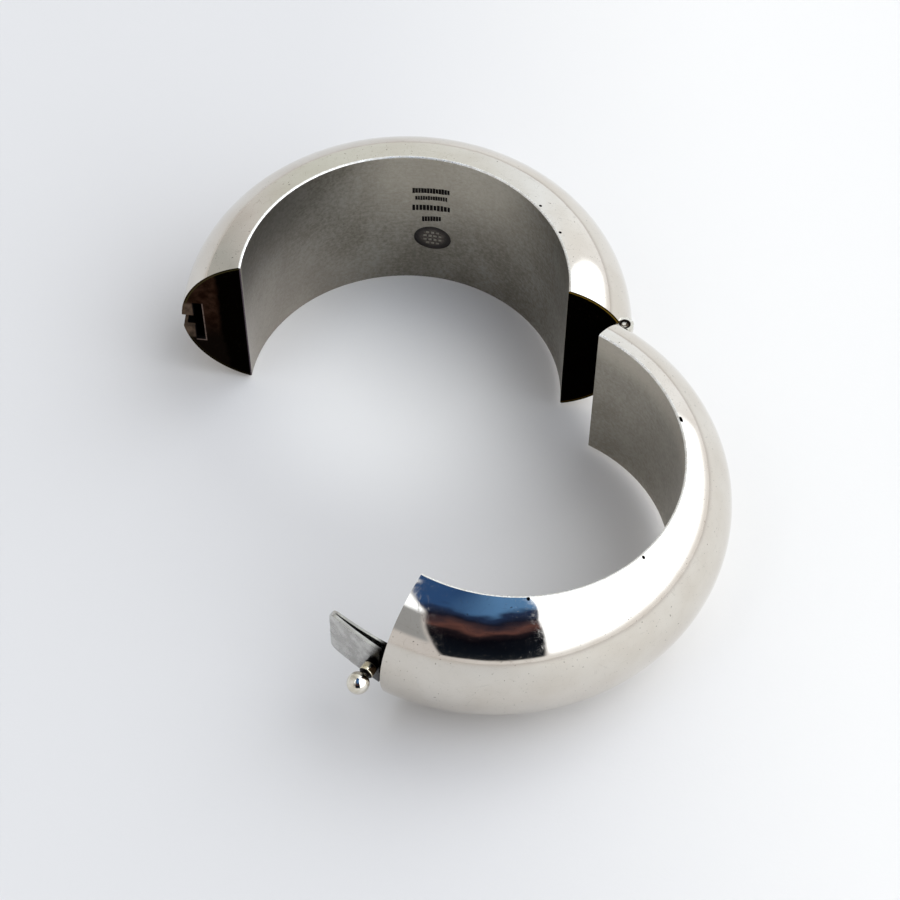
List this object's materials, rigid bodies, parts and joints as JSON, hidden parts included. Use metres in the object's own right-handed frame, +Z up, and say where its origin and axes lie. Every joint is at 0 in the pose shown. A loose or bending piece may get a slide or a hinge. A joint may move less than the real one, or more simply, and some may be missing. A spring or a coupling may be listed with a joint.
{
  "type": "hinged bangle",
  "caption": "Wide domed hollow silver bangle in halves, thicker at the back, with a side hinge and a sprung tongue clasp pushed by a ball.",
  "frame": {"origin": "axis of the round wrist hole, at the plane that the bangle rests on when it lies on its side", "axes": "+Z up along the axis of the wrist hole, +X from the wrist axis towards the hinge, +Y towards the middle of the thick back half"},
  "size_m": [0.1046, 0.1235, 0.0337],
  "materials": {
    "polished_silver": "mirror polished silver with fine scratches, satin inside",
    "clasp_silver": "polished silver, slightly dulled by handling",
    "pin_metal": "dark drawn wire"
  },
  "bodies": {
    "back": {"back_half": "polished_silver", "hinge_pin": "pin_metal"},
    "front": {"front_half": "polished_silver"},
    "leaf": {"push_leaf": "clasp_silver"}
  },
  "joints": [
    {"name": "hinge_swing", "type": "hinge", "parent": "back", "child": "front", "pos_m": [0.04073, 0, 0.01685], "axis": [0, 0, 1], "range_deg": [-63.7, 26]},
    {"name": "leaf_press", "type": "hinge", "parent": "front", "child": "leaf", "pos_m": [-0.00439, -0.06562, 0.01625], "axis": [0, 0, 1], "range_deg": [0, 3.3], "stiffness_Nm_per_rad": 0.8}
  ]
}
